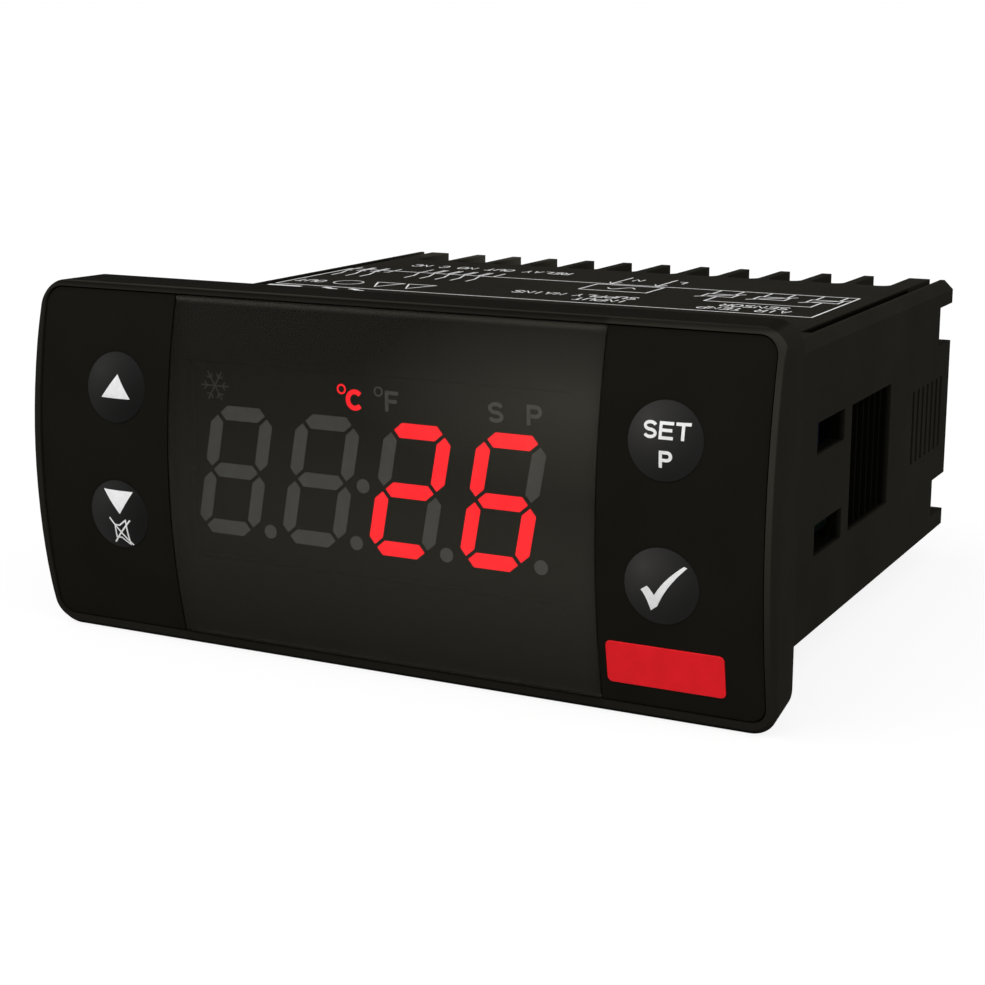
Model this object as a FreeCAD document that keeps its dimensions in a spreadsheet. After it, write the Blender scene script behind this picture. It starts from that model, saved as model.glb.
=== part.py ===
import FreeCAD, Part
import Sketcher
import math
import os
import re

# Panel temperature controller for a 71 x 29 mm cut-out, in millimetres.
# X runs to the right seen from the front, Y runs back through the panel and Z is up.
# The origin is the middle of the bezel's rear face, where the bezel meets the panel.

MAIN_VENT_SLOTS = 7
REAR_VENT_SLOTS = 7

# Column (left -1, right 1) and row (upper 1, lower -1) of each key on the front.
KEYS = {"up": (-1, 1), "down": (-1, -1), "set": (1, 1), "confirm": (1, -1)}

# Bars that shine in each digit, counted from the left, named as on any seven-bar digit.
LIT_BARS = ("", "", "abged", "afgedc")

SIZES = {
    # Front frame: an arch from top to bottom, with a recess for the window and the key panels.
    "bezel_width": 78.0,
    "bezel_height": 35.5,
    "bezel_taper": 0.75,
    "bezel_edge_depth": 6.0,
    "arch_rise": 2.4,
    "bezel_corner": 2.6,
    "bezel_bevel": 0.5,
    "bezel_rim": 0.85,
    "recess_lift": 0.3,
    "front_wall": 1.0,
    "panel_thickness": 1.2,
    "panel_gap": 0.15,
    "seat_gap": 0.05,
    "pad_sink": 0.2,
    "window_proud": 0.2,
    "window_bevel": 0.4,
    "collar_length": 3.5,
    "collar_wall": 0.8,
    "fit_gap": 0.1,
    "arm_height": 2.6,
    "hook_length": 2.2,
    "hook_reach": 1.2,
    "hook_tip": 0.2,
    "post_diameter": 2.4,
    # Keys and the switches behind them.
    "key_diameter": 6.9,
    "key_margin": 2.85,
    "key_middle": 1.46,
    "key_pitch": 12.68,
    "key_dome": 0.6,
    "key_gap": 0.2,
    "key_travel": 0.5,
    "flange_lip": 0.4,
    "flange_thickness": 0.8,
    "flange_gap": 0.3,
    "plunger_diameter": 3.4,
    "plunger_gap": 0.15,
    "plunger_grip": 1.0,
    "switch_side": 6.0,
    "switch_depth": 3.5,
    "switch_inset": 1.0,
    # Digits and their housing.
    "display_front": 5.7,
    "display_depth": 8.0,
    "display_width": 40.0,
    "display_height": 19.0,
    "display_x": -1.0,
    "display_z": 1.2,
    "display_gap": 0.3,
    "digit_x": -2.0,
    "digit_z": 0.25,
    "digit_pitch": 9.63,
    "digit_width": 5.6,
    "digit_height": 11.36,
    "digit_slant": 9.8,
    "bar_width": 1.4,
    "bar_gap": 0.28,
    "bar_depth": 0.5,
    "bar_proud": 0.05,
    "dot_diameter": 1.36,
    "dot_x": 3.87,
    "dot_z": -5.58,
    "colon_x": 4.67,
    # Boards and what they carry.
    "board_thickness": 1.6,
    "board_gap": 0.2,
    "main_board_top": -8.0,
    "main_board_start": 5.0,
    "header_length": 25.4,
    "header_height": 2.5,
    "header_depth": 2.5,
    "chip_side": 10.0,
    "chip_height": 1.4,
    "chip_x": 8.0,
    "transformer_width": 26.0,
    "transformer_length": 27.0,
    "transformer_height": 18.5,
    "transformer_x": -17.0,
    "transformer_y": 26.0,
    "relay_width": 19.0,
    "relay_length": 15.5,
    "relay_height": 15.3,
    "relay_x": 17.5,
    "relay_y": 34.0,
    "can_round": 0.8,
    "can_bevel": 0.4,
    "capacitor_diameter": 10.0,
    "capacitor_height": 16.0,
    "capacitor_x": 6.0,
    "capacitor_y": 15.0,
    "buzzer_diameter": 12.0,
    "buzzer_height": 8.5,
    "buzzer_hole": 2.0,
    "buzzer_hole_depth": 1.5,
    "buzzer_x": 22.0,
    "buzzer_y": 16.0,
    "fuse_diameter": 8.5,
    "fuse_height": 8.0,
    "fuse_x": -24.0,
    "fuse_y": 46.0,
    "varistor_diameter": 10.0,
    "varistor_thickness": 4.0,
    "varistor_x": -9.0,
    "varistor_y": 46.0,
    # Case: a sleeve closed by the bezel in front and by the terminals behind.
    "case_width": 70.5,
    "case_height": 28.5,
    "case_depth": 63.3,
    "case_wall": 1.5,
    "case_seat": 0.6,
    "case_bevel": 1.0,
    "bevel_start": 8.4,
    "side_drop": 0.35,
    "clip_start": 14.25,
    "clip_length": 8.55,
    "clip_height": 3.1,
    "clip_spacing": 9.84,
    "main_vent_start": 25.15,
    "main_vent_length": 13.85,
    "main_vent_height": 12.8,
    "main_vent_rib": 0.45,
    "main_vent_setback": 0.6,
    "rear_vent_start": 47.9,
    "rear_vent_length": 12.3,
    "rear_vent_height": 8.1,
    "rear_vent_slot": 0.8,
    "notch_low": 7.75,
    "notch_high": 12.05,
    "notch_depth": 5.2,
    "rail_inset": 1.5,
    "rail_width": 1.2,
    "rail_depth": 2.4,
    "rail_start": 16.0,
    "plate_end": 54.5,
    "fin_thickness": 1.15,
    "end_fin_thickness": 2.4,
    "comb_root": 1.2,
    "runner_width": 1.5,
    "runner_height": 1.0,
    "runner_start": 8.0,
    "runner_gap": 0.1,
    # Terminals under the comb.
    "terminal_pitch": 5.08,
    "terminal_top": 7.5,
    "terminal_depth": 10.0,
    "terminal_inset": 0.8,
    "terminal_skirt": 2.5,
    "terminal_end_wall": 2.6,
    "terminal_gap": 0.3,
    "entry_width": 3.8,
    "entry_height": 4.8,
    "entry_sill": 2.2,
    "entry_depth": 7.0,
    "shaft_diameter": 3.8,
    "screw_diameter": 3.4,
    "screw_sink": 0.8,
    "screw_slot": 0.6,
    "screw_slot_depth": 0.7,
    "clamp_wall": 0.5,
    "clamp_length": 4.0,
    "clamp_gap": 0.1,
}

# As many ways as the case has room for between its walls.
ROOM_FOR_WAYS = SIZES["case_width"] - 2*SIZES["case_wall"] - 2*SIZES["terminal_end_wall"]
TERMINALS = int(ROOM_FOR_WAYS/SIZES["terminal_pitch"])

# Lengths and places that follow from the sizes, each in words of the list above.
DERIVED = {
    "front_apex": "bezel_edge_depth + arch_rise",
    "arch_radius": "((bezel_height/2)^2 + arch_rise^2)/(2*arch_rise)",
    "arch_axis": "arch_radius - front_apex",
    "reach": "bezel_width",
    "inner_x": "case_width/2 - case_wall",
    "inner_z": "case_height/2 - case_wall",
    "top": "case_height/2",
    "side": "case_width/2",
    "collar_x": "inner_x - fit_gap",
    "collar_z": "inner_z - fit_gap",
    "hollow_x": "collar_x - collar_wall",
    "hollow_z": "collar_z - collar_wall",
    "key_column": "hollow_x - switch_inset - switch_side/2",
    "window_width": "2*(key_column - key_diameter/2 - key_margin)",
    "key_top": "key_middle + key_pitch/2 + key_diameter/2 + flange_lip",
    "key_hole": "key_diameter/2 + key_gap",
    "wall_drum": "arch_radius - panel_thickness - front_wall",
    "flange_front": "arch_axis - sqrt(wall_drum^2 - key_top^2) + flange_gap",
    "flange_rear": "flange_front + flange_thickness",
    "dome_radius": "((key_diameter/2)^2 + key_dome^2)/(2*key_dome)",
    "pad_radius": "arch_radius - pad_sink",
    "dome_shrink": "(pad_radius + key_dome - dome_radius)/pad_radius",
    "board_front": "display_depth - display_front",
    "board_rear": "board_front + board_thickness",
    "switch_front": "board_front - switch_depth",
    "clip_top_z": "clip_spacing/2 - side_drop",
    "clip_low_z": "-clip_spacing/2 - side_drop",
    "main_vent_slot": f"(main_vent_length - {MAIN_VENT_SLOTS - 1}*main_vent_rib)/{MAIN_VENT_SLOTS}",
    "main_vent_pitch": "main_vent_slot + main_vent_rib",
    "rear_vent_pitch": f"(rear_vent_length - rear_vent_slot)/{REAR_VENT_SLOTS - 1}",
    "rail_outer": "side - rail_inset",
    "rail_inner": "rail_outer - rail_width",
    "fin_bottom": "terminal_top + fit_gap",
    "block_rear": "case_depth - terminal_inset",
    "block_front": "block_rear - terminal_depth",
    "main_board_end": "block_rear - terminal_skirt - board_gap",
    "first_way": f"-terminal_pitch*{TERMINALS - 1}/2",
    "screw_top": "terminal_top - screw_sink",
    "entry_floor": "main_board_top + entry_sill",
    "entry_roof": "entry_floor + entry_height",
    "clamp_width": "entry_width - 2*clamp_gap",
    "clamp_rear": "block_rear - entry_depth + clamp_length",
}

FUNCTIONS = ("sqrt",)

# Two places closer than this are the same place.
SAME = 1e-6

doc = FreeCAD.newDocument("temperature_controller")
sheet = doc.addObject("Spreadsheet::Sheet", "Sizes")
for row, (alias, length) in enumerate(SIZES.items(), start=1):
    sheet.set(f"A{row}", alias)
    sheet.set(f"B{row}", str(length))
    sheet.setAlias(f"B{row}", alias)
doc.recompute()

parts = {}


def formula(text):
    """Spells out the derived names in a text and points every size at its cell in the sheet."""
    def spelled(match):
        word = match.group(0)
        if word in DERIVED:
            return f"({formula(DERIVED[word])})"
        if word in SIZES:
            return f"Sizes.{word}"
        if word in FUNCTIONS:
            return word
        raise NameError(word)
    return re.sub(r"[a-z][a-z_]*", spelled, text)


def bind(thing, **texts):
    """Binds properties of a document object to formulas."""
    for name, text in texts.items():
        thing.setExpression(name, formula(text))


def place(thing, x="0", y="0", z="0"):
    """Binds the place of an object to a formula on each axis."""
    for axis, text in zip("xyz", (x, y, z)):
        thing.setExpression(f"Placement.Base.{axis}", formula(text))


def span(middle, length):
    """The two ends of a length laid evenly about its middle."""
    return f"({middle}) - ({length})/2", f"({middle}) + ({length})/2"


def about(half):
    """The two ends of a length laid evenly about zero, from its half."""
    return f"-({half})", f"{half}"


def flipped(ends):
    """The same stretch on the other side of zero."""
    low, high = ends
    return f"-({high})", f"-({low})"


def measure(thing, x, y, z):
    """Binds the lengths of a box and its place to two ends on each axis."""
    for name, (low, high) in zip(("Length", "Width", "Height"), (x, y, z)):
        thing.setExpression(name, formula(f"({high}) - ({low})"))
    place(thing, x[0], y[0], z[0])


def box(name, x, y, z):
    """A box between two ends on each axis."""
    made = doc.addObject("Part::Box", name)
    measure(made, x, y, z)
    return made


TURNS = {
    "X": FreeCAD.Rotation(FreeCAD.Vector(0, 1, 0), 90),
    "Y": FreeCAD.Rotation(FreeCAD.Vector(1, 0, 0), -90),
    "Z": FreeCAD.Rotation(),
}


def rod(name, along, radius, length, x="0", y="0", z="0"):
    """A round rod that starts at a place and runs along one axis."""
    made = doc.addObject("Part::Cylinder", name)
    made.Placement = FreeCAD.Placement(FreeCAD.Vector(), TURNS[along])
    bind(made, Radius=radius, Height=length)
    place(made, x, y, z)
    return made


def drum(name, inset):
    """A solid behind the arch of the front, set back from it by an inset."""
    return rod(name, "X", f"arch_radius - ({inset})", "2*reach", x="-reach", y="arch_axis")


def join(name, pieces):
    made = doc.addObject("Part::MultiFuse", name)
    made.Shapes = pieces
    made.Refine = True
    return made


def overlap(name, pieces):
    made = doc.addObject("Part::MultiCommon", name)
    made.Shapes = pieces
    return made


def cut(name, base, tools):
    made = doc.addObject("Part::Cut", name)
    made.Base = base
    made.Tool = tools[0] if len(tools) == 1 else join(f"{name}_tools", tools)
    made.Refine = True
    return made


def mirrored(name, source):
    """A copy on the other side of the middle plane of the front."""
    made = doc.addObject("Part::Mirroring", name)
    made.Source = source
    made.Normal = FreeCAD.Vector(1, 0, 0)
    return made


def new_body(name, several=False):
    body = doc.addObject("PartDesign::Body", name)
    body.AllowCompound = several
    return body


def size(alias):
    """A size read back from the sheet."""
    return float(sheet.get(alias))


def origin_part(body, role):
    """One of a body's own planes or axes."""
    return next(feature for feature in body.Origin.OriginFeatures if feature.Role == role)


def lengthwise(shape):
    """The edges that run front to back."""
    boxes = [(edge, edge.BoundBox) for edge in shape.Edges]
    return [edge for edge, room in boxes if room.YLength > room.XLength + room.ZLength]


def upper_lengthwise(shape):
    """The edges that run front to back above the middle."""
    return [edge for edge in lengthwise(shape) if edge.BoundBox.ZMin > 0]


def upright(shape):
    """The straight edges that stand up."""
    return [edge for edge in shape.Edges if edge.BoundBox.XLength + edge.BoundBox.YLength < SAME]


def rim_on_top(shape):
    """The edges that lie in the highest plane."""
    return [edge for edge in shape.Edges if edge.BoundBox.ZMin > shape.BoundBox.ZMax - SAME]


def rim_of_arch(shape):
    """The edges round the foremost face that is arched from top to bottom."""
    arches = [face for face in shape.Faces if isinstance(face.Surface, Part.Cylinder)]
    arches = [face for face in arches if abs(face.Surface.Axis.x) > 0.99]
    return max(arches, key=lambda face: face.Surface.Radius).Edges


def soften(body, kind, name, amount, pick):
    """Rounds or bevels the edges that a test picks from a body."""
    doc.recompute()
    base = body.Tip
    picked = pick(base.Shape)
    numbers = [number for number, edge in enumerate(base.Shape.Edges, start=1)
               if any(edge.isSame(other) for other in picked)]
    softened = body.newObject(f"PartDesign::{kind}", name)
    softened.Base = (base, [f"Edge{number}" for number in numbers])
    softened.setExpression("Radius" if kind == "Fillet" else "Size", formula(amount))
    doc.recompute()


def body_box(body, kind, name, x, y, z):
    """A box that adds to or cuts from a body."""
    made = body.newObject(f"PartDesign::{kind}Box", name)
    measure(made, x, y, z)
    return made


def body_rod(body, kind, name, radius, length, x, y, z):
    """An upright round rod that adds to or cuts from a body."""
    made = body.newObject(f"PartDesign::{kind}Cylinder", name)
    bind(made, Radius=radius, Height=length)
    place(made, x, y, z)
    return made


def row_of_ways(body, name, originals):
    """Repeats features once for every way of the terminals."""
    doc.recompute()
    pattern = body.newObject("PartDesign::LinearPattern", name)
    pattern.Originals = originals
    pattern.Direction = (origin_part(body, "X_Axis"), [""])
    pattern.Mode = "Spacing"
    pattern.Occurrences = TERMINALS
    bind(pattern, Offset="terminal_pitch")
    body.Tip = pattern
    doc.recompute()


def part(name, made):
    """Names a finished sub-part of the controller."""
    made.Label = name
    parts[name] = made


# Front


def key_place(key):
    """Formulas for the middle of a key on the front."""
    column, level = KEYS[key]
    return f"{column}*key_column", f"key_middle + {level}*key_pitch/2"


def key_holes(name, keys):
    """One hole for each key through the front, along the way that it travels."""
    holes = []
    for key in keys:
        x, z = key_place(key)
        holes.append(rod(f"{name}_{key}", "Y", "key_hole", "2*front_apex", x, "-2*front_apex", z))
    return holes


def front_outline(name, margin):
    """The outline of the recess or of what lies in it, within the front by a margin and lifted a little."""
    body = new_body(name)
    body_box(body, "Additive", f"{name}_block", about(f"bezel_width/2 - ({margin})"),
             ("-2*front_apex", "0"), span("recess_lift", f"bezel_height - 2*({margin})"))
    soften(body, "Fillet", f"{name}_corners", f"bezel_corner - ({margin})", lengthwise)
    return body


def arch_profile(body):
    """Side view of the front frame: flat behind, arched in front, with three sizes bound to the sheet."""
    sketch = body.newObject("Sketcher::SketchObject", "arch_profile")
    sketch.AttachmentSupport = (origin_part(body, "YZ_Plane"), [""])
    sketch.MapMode = "FlatFace"
    half = size("bezel_height")/2
    edge = size("bezel_edge_depth")
    apex = FreeCAD.Vector(-edge - size("arch_rise"), 0, 0)
    foot, head = FreeCAD.Vector(0, -half, 0), FreeCAD.Vector(0, half, 0)
    brow, chin = FreeCAD.Vector(-edge, half, 0), FreeCAD.Vector(-edge, -half, 0)
    rear = sketch.addGeometry(Part.LineSegment(foot, head))
    upper = sketch.addGeometry(Part.LineSegment(head, brow))
    arch = sketch.addGeometry(Part.Arc(brow, apex, chin))
    lower = sketch.addGeometry(Part.LineSegment(chin, foot))
    start, end, middle, axis, origin = 1, 2, 3, -1, -1
    for first, second in ((rear, upper), (upper, arch), (arch, lower), (lower, rear)):
        sketch.addConstraint(Sketcher.Constraint("Coincident", first, end, second, start))
    sketch.addConstraint(Sketcher.Constraint("Vertical", rear))
    sketch.addConstraint(Sketcher.Constraint("Horizontal", upper))
    sketch.addConstraint(Sketcher.Constraint("Horizontal", lower))
    sketch.addConstraint(Sketcher.Constraint("Symmetric", rear, start, rear, end, origin, start))
    sketch.addConstraint(Sketcher.Constraint("PointOnObject", arch, middle, axis))
    bound = {
        "height": (Sketcher.Constraint("DistanceY", rear, start, rear, end, 2*half), "bezel_height"),
        "edge": (Sketcher.Constraint("DistanceX", upper, end, upper, start, edge), "bezel_edge_depth"),
        "arch": (Sketcher.Constraint("Radius", arch, sketch.Geometry[arch].Radius), "arch_radius"),
    }
    for name, (constraint, text) in bound.items():
        sketch.renameConstraint(sketch.addConstraint(constraint), name)
        sketch.setExpression(f"Constraints.{name}", formula(text))
    return sketch


def front_block():
    """The front seen from before, with rounded corners and ends that come in evenly towards the panel."""
    block = new_body("front_block")
    wedge = block.newObject("PartDesign::AdditiveWedge", "front_wedge")
    bind(wedge, Ymin="-2*bezel_edge_depth", Ymax="0", Zmin="-bezel_height/2", Zmax="bezel_height/2",
         Z2min="-bezel_height/2", Z2max="bezel_height/2",
         Xmin="-bezel_width/2 - bezel_taper", Xmax="bezel_width/2 + bezel_taper",
         X2min="bezel_taper - bezel_width/2", X2max="bezel_width/2 - bezel_taper")
    soften(block, "Fillet", "front_corners", "bezel_corner", lengthwise)
    return block


def bezel_blank():
    """The arched block of the front with its bevelled front edge."""
    arched = new_body("arched_bar")
    pad = arched.newObject("PartDesign::Pad", "arch")
    pad.Profile = arch_profile(arched)
    pad.SideType = "Symmetric"
    bind(pad, Length="2*reach")
    blank = new_body("bezel_blank")
    blank.BaseFeature = overlap("arched_block", [arched, front_block()])
    soften(blank, "Chamfer", "bezel_front_edge", "bezel_bevel", rim_of_arch)
    return blank


def snap_arms():
    """Two arms on the right that run into the case and hook in its clip slots."""
    pieces = []
    for name, z in (("upper", "clip_top_z"), ("lower", "clip_low_z")):
        catch = "clip_start + fit_gap"
        pieces.append(box(f"{name}_arm", ("hollow_x", "collar_x"), ("0", f"{catch} + hook_length"),
                          span(z, "arm_height")))
        hook = doc.addObject("Part::Wedge", f"{name}_hook")
        bind(hook, Xmin="0", X2min="0", Ymin="0", Zmin="0", Z2min="0", Xmax="hook_reach", X2max="hook_tip",
             Ymax="hook_length", Zmax="arm_height", Z2max="arm_height")
        place(hook, "collar_x", catch, f"{z} - arm_height/2")
        pieces.append(hook)
    return join("right_arms", pieces)


def make_front_bezel():
    seat = box("case_rebate", about("side + fit_gap"), ("-case_seat", "case_seat"), about("top + fit_gap"))
    collar = box("bezel_collar", about("collar_x"), ("-case_seat - front_wall", "collar_length"),
                 about("collar_z"))
    arms = snap_arms()
    solid = join("bezel_solid", [cut("seated_blank", bezel_blank(), [seat]), collar, arms,
                                 mirrored("left_arms", arms)])
    recess = cut("bezel_recess", front_outline("recess_outline", "bezel_rim"),
                 [drum("recess_floor", "panel_thickness")])
    hollow = overlap("bezel_hollow", [
        box("hollow_block", about("hollow_x"), ("-front_apex", "2*collar_length"), about("hollow_z")),
        drum("wall_rear", "panel_thickness + front_wall"),
    ])
    opening = box("display_opening", span("display_x", "display_width + 2*display_gap"),
                  ("-2*front_apex", "0"), span("display_z", "display_height + 2*display_gap"))
    shell = cut("bezel_shell", solid, [recess, hollow, opening] + key_holes("wall_hole", KEYS))
    posts = []
    for side, column in (("left", "-key_column"), ("right", "key_column")):
        posts.append(rod(f"{side}_post", "Y", "post_diameter/2", "front_apex + board_front",
                         column, "-front_apex", "key_middle"))
    root = drum("post_root", "panel_thickness + front_wall/2")
    seated = overlap("board_posts", [join("posts", posts), root])
    part("front_bezel", join("bezel_with_posts", [shell, seated]))


def panel(name, x, face_inset, holes):
    """A thin arched panel in the recess, between two ends across the front."""
    blank = overlap(f"{name}_blank", [
        front_outline(f"{name}_outline", "bezel_rim + panel_gap"),
        box(f"{name}_field", x, ("-2*front_apex", "0"), about("bezel_height")),
        drum(f"{name}_face", face_inset),
    ])
    return cut(f"{name}_panel", blank, [drum(f"{name}_back", "panel_thickness - seat_gap")] + holes)


def make_front_panels():
    right = ("window_width/2 + panel_gap", "bezel_width")
    for side, column, x in (("left", -1, flipped(right)), ("right", 1, right)):
        keys = [key for key in KEYS if KEYS[key][0] == column]
        part(f"{side}_key_panel", panel(f"{side}_pad", x, "pad_sink", key_holes(f"{side}_hole", keys)))
    window = new_body("window_body")
    window.BaseFeature = panel("window", about("window_width/2"), "-window_proud", [])
    soften(window, "Chamfer", "window_edge", "window_bevel", rim_of_arch)
    part("display_window", window)


def make_key(key):
    """A domed key with a flange behind the front wall, its switch on the board and the plunger between."""
    x, z = key_place(key)
    dome = doc.addObject("Part::Sphere", f"{key}_dome")
    bind(dome, Radius="dome_radius")
    place(dome, x, f"arch_axis - sqrt(pad_radius^2 - ({z})^2)*dome_shrink", f"({z})*dome_shrink")
    shank = rod(f"{key}_shank", "Y", "key_diameter/2", "2*front_apex", x, "flange_front - 2*front_apex", z)
    flange = rod(f"{key}_flange", "Y", "key_diameter/2 + flange_lip", "flange_thickness",
                 x, "flange_front", z)
    part(f"{key}_button", join(f"{key}_key", [overlap(f"{key}_cap", [shank, dome]), flange]))
    part(f"{key}_plunger", rod(f"{key}_pin", "Y", "plunger_diameter/2",
                               "switch_front + plunger_grip - (flange_rear)", x, "flange_rear", z))
    block = box(f"{key}_switch_block", span(x, "switch_side"), ("switch_front", "board_front"),
                span(z, "switch_side"))
    bore = rod(f"{key}_bore", "Y", "plunger_diameter/2 + plunger_gap",
               "plunger_grip + 2*key_travel + plunger_gap", x, "switch_front - key_travel", z)
    part(f"{key}_switch", cut(f"{key}_switch_body", block, [bore]))


# Digits


def bar_solid(across, up, stands):
    """One pointed bar of a leaning digit, from the middle of the digit."""
    lean = math.tan(math.radians(size("digit_slant")))
    length = size("digit_height")/2 if stands else size("digit_width")
    half = length/2 - size("bar_gap")
    tip = size("bar_width")/2
    shoulder = half - tip
    outline = [(-half, 0), (-shoulder, tip), (shoulder, tip), (half, 0), (shoulder, -tip), (-shoulder, -tip)]
    if stands:
        outline = [(v, u) for u, v in outline]
    points = [FreeCAD.Vector(across + u + (up + v)*lean, 0, up + v) for u, v in outline]
    face = Part.Face(Part.makePolygon(points + points[:1]))
    return face.extrude(FreeCAD.Vector(0, size("bar_depth") + size("bar_proud"), 0))


def dot_solid(x, z):
    depth = size("bar_depth") + size("bar_proud")
    return Part.makeCylinder(size("dot_diameter")/2, depth, FreeCAD.Vector(x, 0, z), FreeCAD.Vector(0, 1, 0))


def make_segments():
    """All bars and dots of the digits, those that shine apart from those that do not."""
    half = size("digit_width")/2
    quarter = size("digit_height")/4
    bars = {"a": (0, 2*quarter, False), "b": (half, quarter, True), "c": (half, -quarter, True),
            "d": (0, -2*quarter, False), "e": (-half, -quarter, True), "f": (-half, quarter, True),
            "g": (0, 0, False)}
    groups = {"display_segments_lit": [], "display_segments_unlit": []}
    for number, lit in enumerate(LIT_BARS):
        middle = (number - (len(LIT_BARS) - 1)/2)*size("digit_pitch")
        for bar, (across, up, stands) in bars.items():
            solid = bar_solid(across, up, stands)
            solid.translate(FreeCAD.Vector(middle, 0, 0))
            groups["display_segments_lit" if bar in lit else "display_segments_unlit"].append(solid)
        groups["display_segments_unlit"].append(dot_solid(middle + size("dot_x"), size("dot_z")))
    colon = size("colon_x") - size("digit_pitch")/2
    groups["display_segments_unlit"].append(dot_solid(colon, 0))
    for name, solids in groups.items():
        made = doc.addObject("Part::Feature", name)
        made.Shape = Part.makeCompound(solids)
        place(made, "digit_x", "-display_front - bar_proud", "digit_z")
        part(name, made)


def make_display():
    make_segments()
    block = box("display_block", span("display_x", "display_width"), ("-display_front", "board_front"),
                span("display_z", "display_height"))
    part("led_display", cut("display_housing", block, [parts["display_segments_lit"],
                                                       parts["display_segments_unlit"]]))


# Boards


def rounded_can(name, x, y, z):
    """A moulded component with rounded upright edges and a bevelled top."""
    body = new_body(f"{name}_can")
    body_box(body, "Additive", f"{name}_block", x, y, z)
    soften(body, "Fillet", f"{name}_corners", "can_round", upright)
    soften(body, "Chamfer", f"{name}_rim", "can_bevel", rim_on_top)
    part(name, body)


def round_can(name, diameter, height, x, y):
    """A round component that stands on the main board, bevelled on top."""
    body = new_body(f"{name}_can")
    body_rod(body, "Additive", f"{name}_barrel", f"{diameter}/2", height, x, y, "main_board_top")
    soften(body, "Chamfer", f"{name}_rim", "can_bevel", rim_on_top)
    part(name, body)
    return body


def on_main_board(height):
    return "main_board_top", f"main_board_top + {height}"


def make_boards():
    part("display_board", box("front_board", about("hollow_x - board_gap"), ("board_front", "board_rear"),
                              about("hollow_z - board_gap")))
    part("main_board", box("lower_board", about("inner_x - board_gap"),
                           ("main_board_start", "main_board_end"),
                           ("main_board_top - board_thickness", "main_board_top")))
    part("board_header", box("header", about("header_length/2"), ("board_rear", "board_rear + header_depth"),
                             on_main_board("header_height")))
    part("microcontroller", box("chip", span("chip_x", "chip_side"),
                                ("board_rear", "board_rear + chip_height"), span("display_z", "chip_side")))


def make_components():
    rounded_can("transformer", span("transformer_x", "transformer_width"),
                span("transformer_y", "transformer_length"), on_main_board("transformer_height"))
    rounded_can("relay", span("relay_x", "relay_width"), span("relay_y", "relay_length"),
                on_main_board("relay_height"))
    round_can("filter_capacitor", "capacitor_diameter", "capacitor_height", "capacitor_x", "capacitor_y")
    round_can("fuse", "fuse_diameter", "fuse_height", "fuse_x", "fuse_y")
    buzzer = round_can("buzzer", "buzzer_diameter", "buzzer_height", "buzzer_x", "buzzer_y")
    body_rod(buzzer, "Subtractive", "sound_hole", "buzzer_hole/2", "2*buzzer_hole_depth",
             "buzzer_x", "buzzer_y", "main_board_top + buzzer_height - buzzer_hole_depth")
    part("varistor", rod("varistor_disc", "Y", "varistor_diameter/2", "varistor_thickness", "varistor_x",
                         "varistor_y - varistor_thickness/2", "main_board_top + varistor_diameter/2"))


# Terminals


def make_terminals():
    screw_y = "block_rear - entry_depth + clamp_length/2"
    block = new_body("terminal_body")
    body_box(block, "Additive", "ways", about("inner_x - terminal_gap"), ("block_front", "block_rear"),
             ("main_board_top", "terminal_top"))
    body_box(block, "Additive", "skirt", about("rail_inner - terminal_gap"),
             ("block_rear - terminal_skirt", "block_rear"), ("fit_gap - inner_z", "main_board_top"))
    entry = body_box(block, "Subtractive", "entry", span("first_way", "entry_width"),
                     ("block_rear - entry_depth", "case_depth"), ("entry_floor", "entry_roof"))
    row_of_ways(block, "entries", [entry])
    shaft = body_rod(block, "Subtractive", "shaft", "shaft_diameter/2",
                     "terminal_top - entry_roof + 2*fit_gap", "first_way", screw_y, "entry_roof - fit_gap")
    row_of_ways(block, "shafts", [shaft])
    part("terminal_block", block)

    screws = new_body("screw_row", several=True)
    stem = body_rod(screws, "Additive", "stem", "screw_diameter/2", "screw_top - entry_roof + clamp_gap",
                    "first_way", screw_y, "entry_roof - clamp_gap")
    slot = body_box(screws, "Subtractive", "slot", span("first_way", "2*screw_diameter"),
                    span(screw_y, "screw_slot"), span("screw_top", "2*screw_slot_depth"))
    row_of_ways(screws, "screw_pattern", [stem, slot])
    part("terminal_screws", screws)

    clamps = new_body("clamp_row", several=True)
    cage = body_box(clamps, "Additive", "cage", span("first_way", "clamp_width"),
                    ("block_rear - entry_depth + clamp_gap", "clamp_rear"),
                    ("entry_floor + clamp_gap", "entry_roof - clamp_gap"))
    mouth = body_box(clamps, "Subtractive", "mouth", span("first_way", "clamp_width - 2*clamp_wall"),
                     ("block_rear - entry_depth", "case_depth"),
                     ("entry_floor + clamp_gap + clamp_wall", "entry_roof - clamp_gap - clamp_wall"))
    row_of_ways(clamps, "clamp_pattern", [cage, mouth])
    part("wire_clamps", clamps)


# Case


def case_blank():
    """The closed outline of the sleeve: square where it sits in the bezel, bevelled above behind that."""
    neck = box("case_neck", about("side"), ("-case_seat", "bevel_start"), about("top"))
    trunk = new_body("case_trunk")
    body_box(trunk, "Additive", "trunk", about("side"), ("bevel_start", "case_depth"), about("top"))
    soften(trunk, "Chamfer", "case_bevels", "case_bevel", upper_lengthwise)
    return join("case_outline", [neck, trunk])


def both_sides(name, x, y, z):
    """The same box on the right and on the left."""
    return [box(f"{name}_right", x, y, z), box(f"{name}_left", flipped(x), y, z)]


def gap_roots(shape):
    """The upright edges in the roots of the gaps between the fins."""
    outermost = size("case_width")/2 - size("rail_inset") - size("rail_width")
    roots = [edge for edge in upright(shape) if abs(edge.BoundBox.YMin - size("plate_end")) < SAME]
    return [edge for edge in roots if abs(edge.BoundBox.XMin) < outermost - SAME]


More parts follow.
